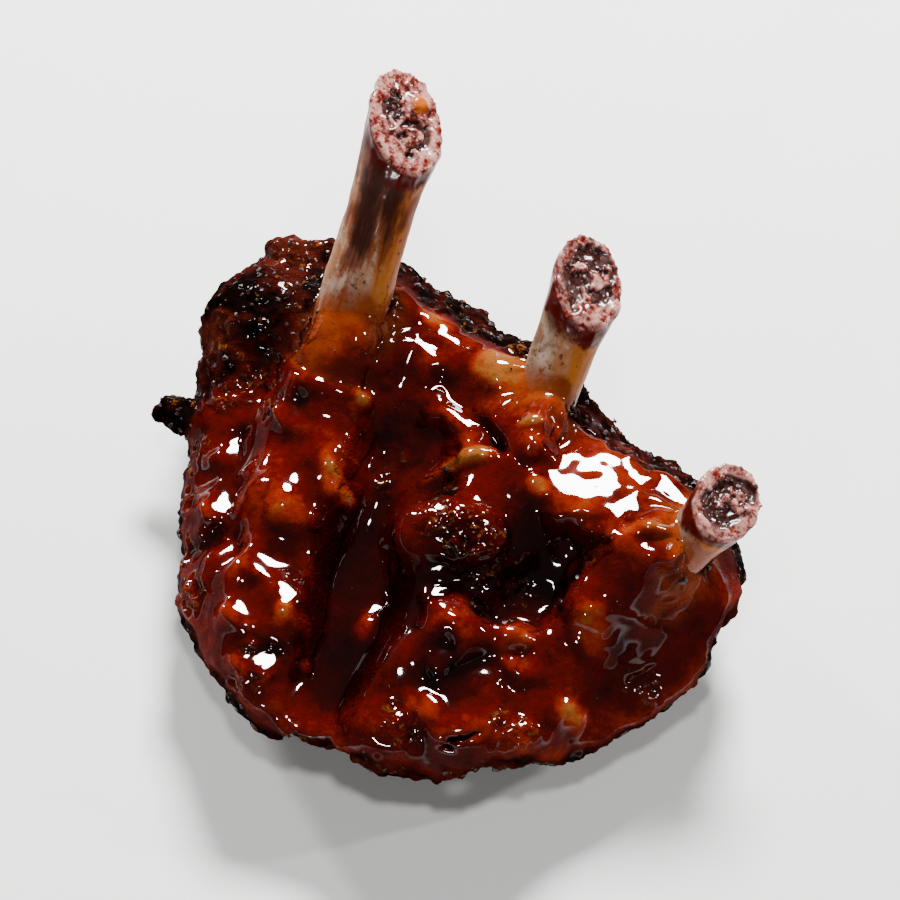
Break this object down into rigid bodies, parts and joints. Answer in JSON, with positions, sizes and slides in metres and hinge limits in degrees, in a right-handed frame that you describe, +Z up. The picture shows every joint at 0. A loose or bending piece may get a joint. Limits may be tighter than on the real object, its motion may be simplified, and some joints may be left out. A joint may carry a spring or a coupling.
{
  "type": "rack of ribs",
  "caption": "Short rack of roast pork ribs in thick glossy sauce, lying on its meat side, hollow bone side up, with scraped sawn rib bones rising from the far edge.",
  "frame": {"origin": "middle of the bounding box, on the surface that the rack lies on", "axes": "X across the ribs, Y along the ribs towards the scraped bone ends, Z up on the hollow bone side"},
  "size_m": [0.1086, 0.1062, 0.0622],
  "materials": {
    "sauced_meat": "roast meat under a thick wet dark red-brown sauce, with charred edges",
    "bone": "dry roasted bone, stained brown, with a spongy sawn end"
  },
  "bodies": {
    "root": {"meat": "sauced_meat", "rib_bone_1": "bone", "rib_bone_2": "bone", "rib_bone_3": "bone"}
  },
  "joints": []
}
